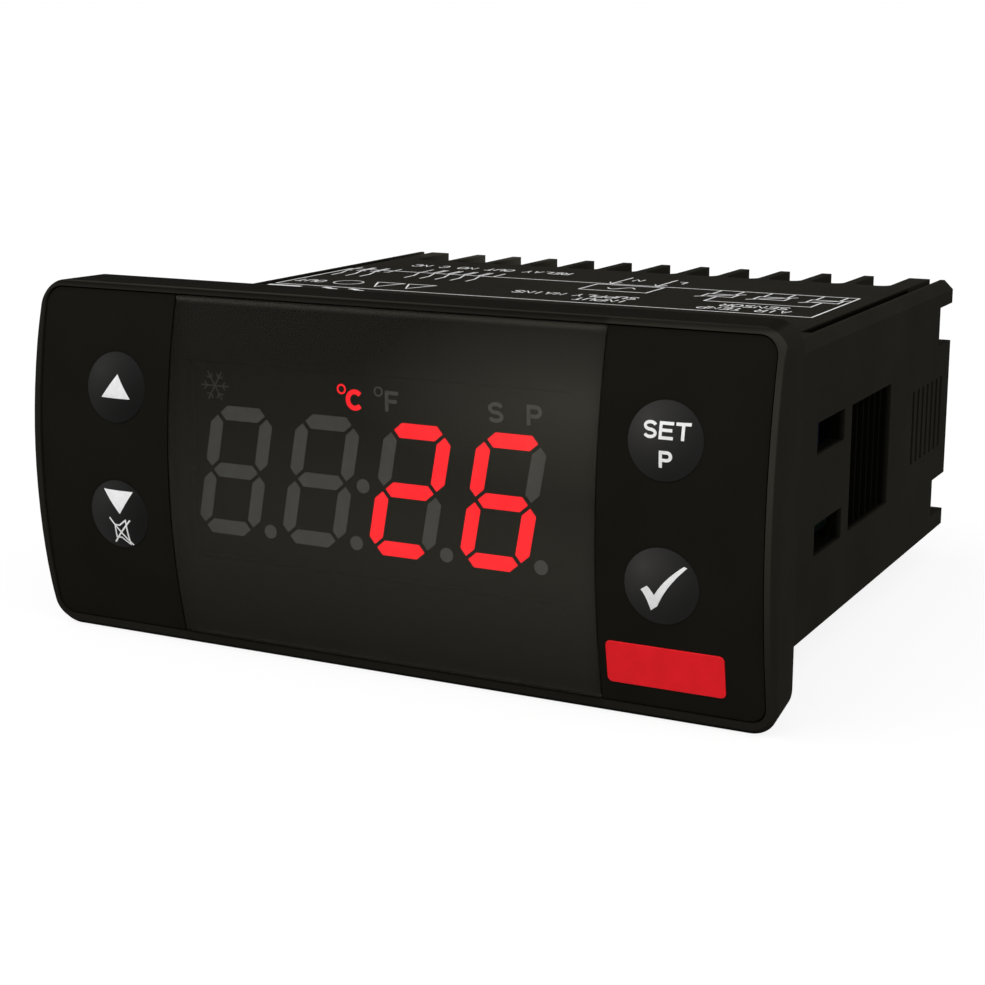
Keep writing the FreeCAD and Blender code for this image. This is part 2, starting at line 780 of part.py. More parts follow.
def comb():
    """Fins between the ways, thicker at the ends, with rounded roots in the wall that carries them."""
    y = ("plate_end - case_wall", "case_depth")
    z = ("fin_bottom", "top")
    fins = [box("bulkhead", about("inner_x"), (y[0], "plate_end"), z)]
    for number in range(1, TERMINALS):
        middle = f"first_way + ({number} - 0.5)*terminal_pitch"
        fins.append(box(f"fin_{number}", span(middle, "fin_thickness"), y, z))
    fins += both_sides("end_fin", ("rail_inner - end_fin_thickness", "rail_inner"), y, z)
    rooted = new_body("comb")
    rooted.BaseFeature = join("comb_fins", fins)
    soften(rooted, "Fillet", "comb_roots", "comb_root", gap_roots)
    return rooted


def inner_ribs():
    """Backs of the clamp rails and the runners that carry the main board."""
    rail_x = ("rail_inner - case_wall", "side - case_wall/2")
    rail_y = ("rail_start - case_wall", "plate_end")
    rail_z = ("top - rail_depth - case_wall", "top - case_wall/2")
    runner_x = ("inner_x - runner_width", "inner_x + case_wall/2")
    runner_y = ("runner_start", "block_front - fit_gap")
    under = "main_board_top - board_thickness"
    ribs = both_sides("rail_back_upper", rail_x, rail_y, rail_z)
    ribs += both_sides("rail_back_lower", rail_x, rail_y, flipped(rail_z))
    ribs += both_sides("runner_under", runner_x, runner_y, (f"{under} - runner_height", under))
    ribs += both_sides("runner_over", runner_x, runner_y,
                       ("main_board_top + runner_gap", "main_board_top + runner_gap + runner_height"))
    return ribs


def case_openings():
    """Clamp rails, clip slots, vents and rear notches."""
    rail_x = ("rail_inner", "rail_outer")
    rail_y = ("rail_start", "case_depth + case_wall")
    rail_z = ("top - rail_depth", "top + case_wall")
    tools = both_sides("rail_upper", rail_x, rail_y, rail_z)
    tools += both_sides("rail_lower", rail_x, rail_y, flipped(rail_z))
    for name, z in (("upper", "clip_top_z"), ("lower", "clip_low_z")):
        tools.append(box(f"clip_slot_{name}", about("reach"), ("clip_start", "clip_start + clip_length"),
                         span(z, "clip_height")))
    vent_z = span("-side_drop", "main_vent_height")
    tools += both_sides("vent_setback", ("side - main_vent_setback", "side + case_wall"),
                        ("main_vent_start", "main_vent_start + main_vent_length"), vent_z)
    for number in range(MAIN_VENT_SLOTS):
        start = f"main_vent_start + {number}*main_vent_pitch"
        tools.append(box(f"main_vent_{number}", about("reach"), (start, f"{start} + main_vent_slot"), vent_z))
    for number in range(REAR_VENT_SLOTS):
        start = f"rear_vent_start + {number}*rear_vent_pitch"
        tools.append(box(f"rear_vent_{number}", about("reach"), (start, f"{start} + rear_vent_slot"),
                         span("-side_drop", "rear_vent_height")))
    notch_x = ("inner_x - case_wall/2", "side + case_wall")
    notch_y = ("case_depth - notch_depth", "case_depth + case_wall")
    for name, low, high in (("upper", "notch_low", "notch_high"), ("lower", "-notch_high", "-notch_low")):
        tools += both_sides(f"notch_{name}", notch_x, notch_y, (f"{low} - side_drop", f"{high} - side_drop"))
    return tools


def make_case():
    hollow = box("case_hollow", about("inner_x"), ("-case_seat - case_wall", "case_depth + case_wall"),
                 about("inner_z"))
    comb_opening = box("comb_opening", about("rail_outer"), ("plate_end", "case_depth + case_wall"),
                       ("inner_z - fit_gap", "top + case_wall"))
    shell = cut("case_shell", case_blank(), [hollow, comb_opening])
    ribbed = join("case_ribbed", [shell, comb()] + inner_ribs())
    part("case", cut("case_sleeve", ribbed, case_openings()))


make_front_bezel()
make_front_panels()
for key_name in KEYS:
    make_key(key_name)
make_display()
make_boards()
make_components()
make_terminals()
make_case()
doc.recompute()

failed = [thing.Name for thing in doc.Objects if {"Invalid", "Error"} & set(thing.State)]
failed += [name for name, made in parts.items() if made.Shape.isNull() or not made.Shape.isValid()]
if failed:
    raise RuntimeError(f"not built: {failed}")

os.makedirs("parts", exist_ok=True)
for node, made in parts.items():
    made.Shape.exportStep(f"parts/{node}.step")
    print(node, len(made.Shape.Solids), "solids", round(made.Shape.Volume, 1), "mm3")
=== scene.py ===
import math

import bmesh
import bpy
import numpy as np
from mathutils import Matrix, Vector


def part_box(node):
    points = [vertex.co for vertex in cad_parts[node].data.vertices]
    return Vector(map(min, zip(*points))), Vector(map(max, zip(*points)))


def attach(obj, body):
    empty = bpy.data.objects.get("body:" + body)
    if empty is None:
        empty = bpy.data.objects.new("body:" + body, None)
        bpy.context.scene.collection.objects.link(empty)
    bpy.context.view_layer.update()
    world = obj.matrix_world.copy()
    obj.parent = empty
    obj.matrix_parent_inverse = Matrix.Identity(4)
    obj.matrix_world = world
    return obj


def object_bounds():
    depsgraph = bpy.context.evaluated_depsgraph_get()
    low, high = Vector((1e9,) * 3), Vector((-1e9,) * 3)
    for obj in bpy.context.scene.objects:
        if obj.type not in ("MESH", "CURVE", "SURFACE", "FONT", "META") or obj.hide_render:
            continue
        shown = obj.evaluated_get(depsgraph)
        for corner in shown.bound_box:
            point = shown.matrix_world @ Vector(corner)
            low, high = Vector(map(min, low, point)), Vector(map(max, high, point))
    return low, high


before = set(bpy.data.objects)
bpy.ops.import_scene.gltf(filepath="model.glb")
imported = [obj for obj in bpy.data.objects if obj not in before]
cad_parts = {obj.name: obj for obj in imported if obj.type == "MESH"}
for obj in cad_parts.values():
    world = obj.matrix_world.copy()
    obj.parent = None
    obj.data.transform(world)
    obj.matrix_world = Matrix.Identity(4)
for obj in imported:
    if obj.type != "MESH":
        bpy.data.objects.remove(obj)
cad_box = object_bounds()

# Lengths are in millimetres, and meshes, finishes and the camera turn them into metres.
MM = 0.001
# A length that stands for no end, where a plane or a spot of painted light doesn't change along an axis.
FAR = 1.0e6

# The front: an arch from top to bottom, with the window proud of it and the key panels below it.
ARCH_RISE = 2.4
BEZEL_BEVEL = 0.5
PAD_SINK = 0.2

# Keys: domes that stand out of the key panels.
KEY_DIAMETER = 6.9
KEY_DOME = 0.6
# Soft lip that closes the gap round a key: its inner and outer radius.
KEY_LIP = (3.48, 3.67)
# Painted highlight at the upper left of a key: its place from the key's middle, and its reach.
KEY_HIGHLIGHT_SPOT = (-1.6, 1.7)
KEY_HIGHLIGHT_REACH = 6
# What a key's colour is multiplied by, out of the painted highlight and in its middle; below one this is
# painted shade.
KEY_PAINTED_LIGHT = {"up": (0.65, 2.0), "down": (0.65, 2.0), "set": (1.15, 3.9), "confirm": (1.1, 4.2)}

# Where the bezel's painted light changes: half its recess, across and up, within which it gets painted
# shade, and the outer end of the painted highlight on its rim.
RECESS_HALF = (37.9, 16.5)
RIM_HIGHLIGHT_END = 38.75
# Where the case's painted shade changes: the bevel along its upper edges, below which vents, slots and
# rails get painted shade, and the start of its comb.
CASE_BEVEL = 1.0
COMB_START = 54.5
# Painted highlights on the bezel's rim and on the case's comb: middle and reach.
RIM_HIGHLIGHT_SPOT = ((40, 0, 8), (60, FAR, 30))
COMB_HIGHLIGHT_SPOT = ((-24, 66, 13), (18, 10, 8))
# Painted highlight lines along the bezel's upper edges: middle and reach of the front one, reach of the
# rear one.
FRONT_HIGHLIGHT_MIDDLE = -12
FRONT_HIGHLIGHT_REACH = (60, 0.25, 0.25)
REAR_HIGHLIGHT_REACH = (FAR, 0.6, 0.6)

# Print is a thin layer of ink, sunk a little into what carries it.
INK_HEIGHT = 0.012
INK_ROOT = 0.03

# Plate on the right key panel: middle, size, corner, height and the round of its edge.
PLATE_MIDDLE = (28.95, -12.6)
PLATE_SIZE = (11.1, 4.0)
PLATE_CORNER = 0.5
PLATE_HEIGHT = 0.12
PLATE_EDGE = 0.08


def millimetres(box):
    """Low and high corner of a CAD box as arrays in millimetres."""
    return np.array(box)/MM


bezel_low, bezel_high = millimetres(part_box("front_bezel"))
window_low, window_high = millimetres(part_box("display_window"))
case_high = millimetres(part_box("case"))[1]
display_low = millimetres(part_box("led_display"))[0]

arch_radius = (bezel_high[2]**2 + ARCH_RISE**2)/(2*ARCH_RISE)
arch_axis = bezel_low[1] + arch_radius
pad_radius = arch_radius - PAD_SINK
dome_radius = ((KEY_DIAMETER/2)**2 + KEY_DOME**2)/(2*KEY_DOME)

# Painted reflections on the window: middle, reach and level of two soft blooms and of painted light along
# its lower and upper edge.
WINDOW_PAINTED_REFLECTIONS = [
    ((20.5, 0, 10.2), (22.5, FAR, 8.6), 0.57),
    ((40, 0, -5), (128, FAR, 18.6), 0.51),
    ((0, 0, window_low[2]), (FAR, FAR, 0.45), 0.4),
    ((0, 0, window_high[2] - 0.25), (FAR, FAR, 0.4), 0.46),
]


def key_middle(key):
    """Middle of a key on the front, across and up."""
    low, high = millimetres(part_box(f"{key}_button"))
    return (low[0] + high[0])/2, (low[2] + high[2])/2


# Parts of a finish


def shader(name):
    """A new material with its node tree and its main shader."""
    material = bpy.data.materials.new(name)
    material.use_nodes = True
    return material, material.node_tree, material.node_tree.nodes["Principled BSDF"]


def settings(surface, **sockets):
    """Sets uniform values on the shader's own sockets."""
    for name, value in sockets.items():
        surface.inputs[name.replace("_", " ").title().replace("Ior", "IOR")].default_value = value


def noise(tree, grain, detail=3.0, stretch=(1, 1, 1)):
    """Cloudy noise on object coordinates with spots of about one grain, in millimetres."""
    place = tree.nodes.new("ShaderNodeTexCoord")
    turn = tree.nodes.new("ShaderNodeMapping")
    turn.inputs["Scale"].default_value = stretch
    cloud = tree.nodes.new("ShaderNodeTexNoise")
    cloud.inputs["Scale"].default_value = 1/(grain*MM)
    cloud.inputs["Detail"].default_value = detail
    tree.links.new(place.outputs["Object"], turn.inputs["Vector"])
    tree.links.new(turn.outputs["Vector"], cloud.inputs["Vector"])
    return cloud.outputs["Fac"]


def blended(tree, factor, low, high, socket, start=0.3, end=0.7):
    """Runs a colour socket from one colour to another as a factor rises."""
    ramp = tree.nodes.new("ShaderNodeValToRGB")
    for stop, place, colour in zip(ramp.color_ramp.elements, (start, end), (low, high)):
        stop.position = place
        stop.color = (*colour, 1)
    tree.links.new(factor, ramp.inputs["Fac"])
    tree.links.new(ramp.outputs["Color"], socket)


def mapped(tree, factor, low, high, start=0.3, end=0.7):
    """A number that runs from low to high as a factor rises from start to end, and stays there beyond."""
    reach = tree.nodes.new("ShaderNodeMapRange")
    for name, value in (("From Min", start), ("From Max", end), ("To Min", low), ("To Max", high)):
        reach.inputs[name].default_value = value
    tree.links.new(factor, reach.inputs["Value"])
    return reach.outputs["Result"]


def ranged(tree, factor, low, high, socket):
    """Runs a number socket from one value to another as a factor rises."""
    tree.links.new(mapped(tree, factor, low, high), socket)


def combined(tree, way, *numbers):
    """Numbers brought together one by one, such as their sum, their product or the greatest of them."""
    result = numbers[0]
    for number in numbers[1:]:
        both = tree.nodes.new("ShaderNodeMath")
        both.operation = way
        tree.links.new(result, both.inputs[0])
        tree.links.new(number, both.inputs[1])
        result = both.outputs["Value"]
    return result


def scaled_into(tree, factor, socket):
    """A new socket whose colour reaches an old one multiplied by a factor."""
    scale = tree.nodes.new("ShaderNodeVectorMath")
    scale.operation = "SCALE"
    tree.links.new(factor, scale.inputs["Scale"])
    tree.links.new(scale.outputs["Vector"], socket)
    return scale.inputs["Vector"]


def bumped(tree, surface, height, strength, depth):
    """Raises and sinks the surface by a height factor, with a depth in millimetres."""
    bump = tree.nodes.new("ShaderNodeBump")
    bump.inputs["Strength"].default_value = strength
    bump.inputs["Distance"].default_value = depth*MM
    tree.links.new(height, bump.inputs["Height"])
    tree.links.new(bump.outputs["Normal"], surface.inputs["Normal"])


def bloom(tree, middle, reach, fall="SPHERICAL"):
    """Soft round spot on object coordinates: one at its middle, falling to nothing at its reach."""
    place = tree.nodes.new("ShaderNodeTexCoord")
    fit = tree.nodes.new("ShaderNodeMapping")
    fit.vector_type = "TEXTURE"
    fit.inputs["Location"].default_value = [length*MM for length in middle]
    fit.inputs["Scale"].default_value = [length*MM for length in reach]
    spot = tree.nodes.new("ShaderNodeTexGradient")
    spot.gradient_type = fall
    tree.links.new(place.outputs["Object"], fit.inputs["Vector"])
    tree.links.new(fit.outputs["Vector"], spot.inputs["Vector"])
    return spot.outputs["Fac"]


def nearness(tree, *sides):
    """How near a point lies to the nearest of some sides about the origin: one on a side, less within.

    Each side is three lengths, where its plane crosses the axes. The shares of those lengths that lie
    between the origin and the point add up to one on the plane, and the greatest sum of all sides counts.
    """
    place = tree.nodes.new("ShaderNodeTexCoord")
    reach = tree.nodes.new("ShaderNodeVectorMath")
    reach.operation = "ABSOLUTE"
    tree.links.new(place.outputs["Object"], reach.inputs[0])
    sums = []
    for side in sides:
        share = tree.nodes.new("ShaderNodeVectorMath")
        share.operation = "DOT_PRODUCT"
        share.inputs[1].default_value = [1/(length*MM) for length in side]
        tree.links.new(reach.outputs["Vector"], share.inputs[0])
        sums.append(share.outputs["Value"])
    return combined(tree, "MAXIMUM", *sums)


# Painted light and shade that a moulding's colour is multiplied by


def case_painted_light(tree):
    """Full on the case's skin, painted shade below it in vents, slots and rails, a painted highlight at the
    left of its comb.
    """
    wide, high = case_high[0], case_high[2]
    slope = wide + high - CASE_BEVEL
    skin = nearness(tree, (wide, FAR, FAR), (FAR, FAR, high), (slope, FAR, slope), (FAR, COMB_START, FAR))
    # Painted shade below the skin, and a painted highlight at the left of the comb.
    below = mapped(tree, skin, 0.2, 1.0, start=0.983, end=0.998)
    comb = mapped(tree, bloom(tree, *COMB_HIGHLIGHT_SPOT), 1.0, 3.2, start=0.0, end=0.7)
    return combined(tree, "MULTIPLY", below, comb)


def bezel_painted_light(tree):
    """Painted highlights on the rim by the window and along the upper and rear edge, painted shade on top
    and in the recess.
    """
    depth = bloom(tree, (0, arch_axis, 0), (FAR, arch_radius, arch_radius))
    bevel = BEZEL_BEVEL/arch_radius
    edge = mapped(tree, depth, 1.0, 0.0, start=bevel*0.9, end=bevel*1.05)
    # Painted highlight on the rim beside the window, out to the rim's outer end.
    lift = mapped(tree, bloom(tree, *RIM_HIGHLIGHT_SPOT), 0.1, 1.18, start=0.29, end=0.867)
    beside = mapped(tree, nearness(tree, (window_high[0], FAR, FAR)), 0.0, 1.0, start=0.99, end=1.01)
    within = mapped(tree, nearness(tree, (RIM_HIGHLIGHT_END, FAR, FAR)), 1.0, 0.0, start=0.997, end=1.0)
    rim = combined(tree, "MULTIPLY", edge, lift, beside, within)
    # Painted highlight lines along the bezel's top front edge and top rear edge.
    front = bezel_low[1] + ARCH_RISE + BEZEL_BEVEL
    streak = bloom(tree, (FRONT_HIGHLIGHT_MIDDLE, front, bezel_high[2]), FRONT_HIGHLIGHT_REACH)
    line = mapped(tree, streak, 0.0, 4.0, start=0.0, end=1.0)
    rear = bloom(tree, (0, 0, bezel_high[2]), REAR_HIGHLIGHT_REACH)
    light = mapped(tree, combined(tree, "ADD", rim, line, rear), 1.0, 6.0, start=0.0, end=5.0)
    # Painted shade in the recess and on the bezel's top.
    recess = nearness(tree, (RECESS_HALF[0], FAR, FAR), (FAR, FAR, RECESS_HALF[1]))
    painted_recess_shade = mapped(tree, recess, 0.6, 1.0, start=0.98, end=1.0)
    upper = mapped(tree, nearness(tree, (FAR, FAR, bezel_high[2])), 1.0, 0.5, start=0.972, end=0.988)
    return combined(tree, "MULTIPLY", light, upper, painted_recess_shade)


def key_painted_light(key):
    """Painted highlight that falls off from the upper left of a key to painted shade at its lower right."""
    x, z = key_middle(key)

    def shade(tree):
        # Painted highlight at the key's upper left, painted shade towards its lower right.
        spot = bloom(tree, (x + KEY_HIGHLIGHT_SPOT[0], 0, z + KEY_HIGHLIGHT_SPOT[1]), (KEY_HIGHLIGHT_REACH, FAR, KEY_HIGHLIGHT_REACH),
                     "QUADRATIC_SPHERE")
        return mapped(tree, spot, *KEY_PAINTED_LIGHT[key], start=0.0, end=1.0)
    return shade


# Finishes


def moulded(name, low, high, rough, grain, bump, gloss, shade=None):
    """Moulded plastic: a spark-eroded grain under slow drifts of colour, which painted light and shade may
    multiply.

    Drifts are forty grains wide, and the grain is a quarter as deep as it is wide.
    """
    material, tree, surface = shader(name)
    drift = noise(tree, 40*grain)
    fine = noise(tree, grain, 2.0)
    colour = surface.inputs["Base Color"]
    blended(tree, drift, low, high, scaled_into(tree, shade(tree), colour) if shade else colour)
    ranged(tree, fine, rough[0], rough[1], surface.inputs["Roughness"])
    bumped(tree, surface, fine, bump, grain/4)
    settings(surface, specular_ior_level=gloss)
    return material


def smoked_window():
    """Smoked clear panel: dark, partly see-through and polished, with two soft blooms and light edges that
    are painted reflections.
    """
    material, tree, surface = shader("smoked_window")
    # Painted reflections: two soft blooms, and painted light along the lower and upper edge.
    spots = [mapped(tree, bloom(tree, middle, reach), 0.0, level, start=0.0, end=1.0)
             for middle, reach, level in WINDOW_PAINTED_REFLECTIONS]
    blended(tree, combined(tree, "ADD", *spots), (0.0117, 0.011, 0.0084), (0.0725, 0.0686, 0.0545),
            surface.inputs["Base Color"], start=0.0, end=1.0)
    ranged(tree, noise(tree, 9.0), 0.24, 0.3, surface.inputs["Roughness"])
    settings(surface, alpha=0.47, specular_ior_level=0.03)
    return material


def lit_bar():
    """Shining red bar of the display, a little uneven like light through a diffuser."""
    material, tree, surface = shader("lit_segment")
    glow = noise(tree, 1.2)
    blended(tree, glow, (1.0, 0.006, 0.014), (1.0, 0.012, 0.022), surface.inputs["Emission Color"])
    settings(surface, base_color=(0.6, 0.01, 0.015, 1), emission_strength=3.6, roughness=0.5)
    return material


def unlit_bar():
    """Dark bar of the display: grey diffuser with a fine grain."""
    material, tree, surface = shader("unlit_segment")
    grain = noise(tree, 0.5)
    blended(tree, grain, (0.43, 0.43, 0.39), (0.5, 0.5, 0.455), surface.inputs["Base Color"])
    settings(surface, roughness=0.7, specular_ior_level=0.2)
    return material


def circuit_board():
    """Green solder mask over a weave of glass cloth, with winding bands of copper below it."""
    material, tree, surface = shader("circuit_board")
    bands = tree.nodes.new("ShaderNodeTexWave")
    bands.inputs["Scale"].default_value = 1/(7*MM)
    bands.inputs["Distortion"].default_value = 6.0
    place = tree.nodes.new("ShaderNodeTexCoord")
    tree.links.new(place.outputs["Object"], bands.inputs["Vector"])
    blended(tree, bands.outputs["Fac"], (0.002, 0.011, 0.0045), (0.003, 0.017, 0.0065),
            surface.inputs["Base Color"], start=0.55, end=0.6)
    bumped(tree, surface, noise(tree, 0.4), 0.2, 0.05)
    settings(surface, roughness=0.35)
    return material


def plated(name, low, high, stretch):
    """Plated metal with fine marks that are narrower along one axis."""
    material, tree, surface = shader(name)
    marks = noise(tree, 0.15, 4.0, stretch)
    blended(tree, marks, low, high, surface.inputs["Base Color"])
    ranged(tree, marks, 0.25, 0.42, surface.inputs["Roughness"])
    bumped(tree, surface, marks, 0.15, 0.02)
    settings(surface, metallic=1.0)
    return material


def ink(name, low, high):
    """Printed ink with slight unevenness in its cover."""
    material, tree, surface = shader(name)
    cover = noise(tree, 0.6)
    blended(tree, cover, low, high, surface.inputs["Base Color"])
    ranged(tree, cover, 0.5, 0.65, surface.inputs["Roughness"])
    settings(surface, specular_ior_level=0.2)
    return material


def red_enamel():
    """Smooth red enamel on the small plate, with a faint ripple in its gloss."""
    material, tree, surface = shader("red_enamel")
    ripple = noise(tree, 1.6)
    blended(tree, ripple, (0.62, 0.006, 0.011), (0.7, 0.008, 0.014), surface.inputs["Base Color"])
    ranged(tree, ripple, 0.3, 0.38, surface.inputs["Roughness"])
    bumped(tree, surface, ripple, 0.05, 0.05)
    settings(surface, specular_ior_level=0.12)
    return material


# Mouldings: two colours, least and most roughness, grain, strength of its bump, and gloss.
MOULDINGS = {
    "key_panel": ((0.007, 0.0067, 0.005), (0.0084, 0.008, 0.006), (0.75, 0.85), 0.18, 0.12, 0.004),
    "display_housing": ((0.006, 0.006, 0.005), (0.008, 0.008, 0.0068), (0.8, 0.9), 0.3, 0.15, 0.02),
    "component_black": ((0.014, 0.014, 0.014), (0.02, 0.02, 0.02), (0.45, 0.6), 0.25, 0.2, 0.3),
    "terminal_plastic": ((0.016, 0.016, 0.0155), (0.022, 0.022, 0.021), (0.45, 0.58), 0.3, 0.2, 0.25),
    "relay_blue": ((0.007, 0.018, 0.06), (0.01, 0.025, 0.08), (0.35, 0.5), 0.25, 0.15, 0.35),
    "capacitor_sleeve": ((0.015, 0.02, 0.05), (0.022, 0.028, 0.07), (0.25, 0.4), 0.4, 0.1, 0.5),
    "varistor_coat": ((0.025, 0.1, 0.3), (0.035, 0.13, 0.38), (0.25, 0.4), 0.5, 0.2, 0.5),
    "plunger_plastic": ((0.55, 0.55, 0.53), (0.62, 0.62, 0.6), (0.45, 0.6), 0.3, 0.15, 0.3),
}
CASE_BLACK = ((0.0117, 0.0112, 0.0087), (0.0141, 0.0135, 0.0106), (0.8, 0.9), 0.28, 0.25, 0.001)
BEZEL_BLACK = ((0.0108, 0.0103, 0.0081), (0.0128, 0.0123, 0.0098), (0.7, 0.8), 0.28, 0.25, 0.001)
KEY_RUBBER = ((0.0075, 0.0072, 0.007), (0.009, 0.0087, 0.0084), (0.42, 0.5), 0.2, 0.12, 0.05)

# Finish of each slot, and of the nodes that have one of their own; the case's finish carries painted shade
# and a painted highlight.
FINISHES = {name: moulded(name, *look) for name, look in MOULDINGS.items()}
FINISHES.update({
    "moulded_black": moulded("moulded_black", *CASE_BLACK, case_painted_light),
    "smoked_window": smoked_window(),
    "lit_segment": lit_bar(),
    "unlit_segment": unlit_bar(),
    "circuit_board": circuit_board(),
    "plated_steel": plated("plated_steel", (0.5, 0.5, 0.49), (0.62, 0.62, 0.6), (1, 8, 1)),
    "plated_brass": plated("plated_brass", (0.56, 0.52, 0.42), (0.68, 0.64, 0.54), (8, 1, 1)),
})
# The keys and the bezel have finishes of their own, which carry painted highlights and painted shade.
PAINTED_LIGHT_FINISHES = {f"{key}_button": moulded(f"{key}_rubber", *KEY_RUBBER, key_painted_light(key)) for key in KEY_PAINTED_LIGHT}
PAINTED_LIGHT_FINISHES["front_bezel"] = moulded("bezel_black", *BEZEL_BLACK, bezel_painted_light)

WHITE_INK = ink("white_ink", (0.66, 0.66, 0.66), (0.74, 0.74, 0.74))
LABEL_INK = ink("label_ink", (0.52, 0.52, 0.52), (0.66, 0.66, 0.66))
ICON_INK = ink("icon_ink", (0.43, 0.43, 0.39), (0.5, 0.5, 0.455))
FAINT_INK = ink("faint_ink", (0.19, 0.19, 0.17), (0.24, 0.24, 0.215))
RED_ENAMEL = red_enamel()

for name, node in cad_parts.items():
    for slot in node.material_slots:
        usual = slot.material.name.split(".")[0]
        slot.material = PAINTED_LIGHT_FINISHES[name] if name in PAINTED_LIGHT_FINISHES else FINISHES[usual]


# Meshes


def written(name, points, faces, material):
    """Puts points in millimetres and faces into a new object at the origin, with faces turned outwards."""
    mesh = bpy.data.meshes.new(name)
    mesh.from_pydata((points*MM).tolist(), [], faces)
    shape = bmesh.new()
    shape.from_mesh(mesh)
    bmesh.ops.recalc_face_normals(shape, faces=shape.faces)
    shape.to_mesh(mesh)
    shape.free()
    mesh.materials.append(material)
    piece = bpy.data.objects.new(name, mesh)
    bpy.context.scene.collection.objects.link(piece)
    return piece


def tube_faces(count, around, first):
    """Faces of a tube of count rings with around points each, from number first: quads and two ends."""
    base = np.arange(count - 1)[:, None]*around
    step = np.arange(around)[None, :]
    after = (step + 1) % around
    quads = np.stack([base + step, base + after, base + around + after, base + around + step], -1)
    ends = [list(range(start, start + around)) for start in (first, first + (count - 1)*around)]
    return (first + quads.reshape(-1, 4)).tolist() + ends


def finely(path, spacing):
    """Points along a path, about a spacing apart or closer and at its corners, each with its share."""
    path = np.asarray(path, float)
    run = np.concatenate([[0], np.cumsum(np.linalg.norm(np.diff(path, axis=0), axis=1))])
    even = np.linspace(0, run[-1], max(2, int(run[-1]/spacing) + 1))
    stations = np.unique(np.round(np.concatenate([run, even]), 6))
    return np.stack([np.interp(stations, run, path[:, axis]) for axis in (0, 1)], -1), stations/run[-1]


# Least share of a mitre, so that sharp corners of a band stay blunt.
SHARPEST = 0.6


def across_band(path, half, count):
    """Points across a band: each moves along the mitre of the runs that meet there, up to half a width."""
    run = np.diff(path, axis=0)
    run /= np.linalg.norm(run, axis=1, keepdims=True)
    before, after = np.vstack([run[:1], run]), np.vstack([run, run[-1:]])
    aside = np.stack([-before[:, 1], before[:, 0]], -1)
    mitre = aside + np.stack([-after[:, 1], after[:, 0]], -1)
    mitre /= np.maximum(np.sum(mitre*aside, axis=1, keepdims=True), SHARPEST)
    share = np.linspace(1, -1, count)[None, :, None]
    return path[:, None] + mitre[:, None]*half[:, None, None]*share


def stroke(path, width, spacing):
    """Rows of points across a band of one width, or of a width that changes evenly between its two ends."""
    line, share = finely(path, spacing)
    half = np.interp(share, (0, 1), np.broadcast_to(width, 2))/2
    return across_band(line, half, 2 + int(half.max()/spacing))


def printed(name, bands, carrier, material, body, spacing=0.15):
    """Ink laid on a surface: each band is a flat rectangle carried along its path, one ink layer thick.

    A band is a path and its width, or the widths at its two ends, or else its own rows of points. The
    carrier turns points on the drawing and a height above the surface into places on the object.
    """
    points, faces, first = [], [], 0
    for band in bands:
        drawn = band if isinstance(band, np.ndarray) else stroke(*band, spacing)
        rings = np.concatenate([carrier(drawn, INK_HEIGHT), carrier(drawn[:, ::-1], -INK_ROOT)], 1)
        count, around = rings.shape[:2]
        points.append(rings.reshape(-1, 3))
        faces += tube_faces(count, around, first)
        first += count*around
    piece = written(name, np.vstack(points), faces, material)
    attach(piece, body)
    return piece


# Surfaces that carry print


def arch_y(z, radius):
    """Front of an arched panel: the near side of a cylinder about the arch's axis."""
    return arch_axis - np.sqrt(radius**2 - z**2)


def on_key(key):
    """Carrier on a key's dome: a sphere whose axis stands square to the arch at the key's middle."""
    x, z = key_middle(key)
    shrink = (pad_radius + KEY_DOME - dome_radius)/pad_radius
    centre = np.array([x, arch_axis - math.sqrt(pad_radius**2 - z**2)*shrink, z*shrink])

    def carrier(drawn, height):
        across, up = drawn[..., 0] + x, drawn[..., 1] + z
        deep = np.sqrt((dome_radius + height)**2 - (across - centre[0])**2 - (up - centre[2])**2)
        return np.stack([across, centre[1] - deep, up], -1)
    return carrier


def on_pad(key):
    """Carrier on the arched key panel about a key's middle, just below its face."""
    x, z = key_middle(key)

    def carrier(drawn, height):
        across, up = drawn[..., 0] + x, drawn[..., 1] + z
        return np.stack([across, arch_y(up, pad_radius + height - 2*INK_HEIGHT), up], -1)
    return carrier


def on_display(drawn, height):
    """Carrier on the flat face of the display behind the window."""
    return np.stack([drawn[..., 0], np.full(drawn.shape[:-1], display_low[1] - height), drawn[..., 1]], -1)


def on_case_top(drawn, height):
    """Carrier on the flat top of the case, where the drawing's up is towards the rear."""
    return np.stack([drawn[..., 0], drawn[..., 1], np.full(drawn.shape[:-1], case_high[2] + height)], -1)


# Letters of the keys and the display, as paths in a box of a width and a height, drawn with one weight


def arc(centre, radii, start, end, count=24):
    """Part of an ellipse from one angle to another, in degrees."""
    turn = np.radians(np.linspace(start, end, count))
    return np.stack([centre[0] + radii[0]*np.cos(turn), centre[1] + radii[1]*np.sin(turn)], -1)


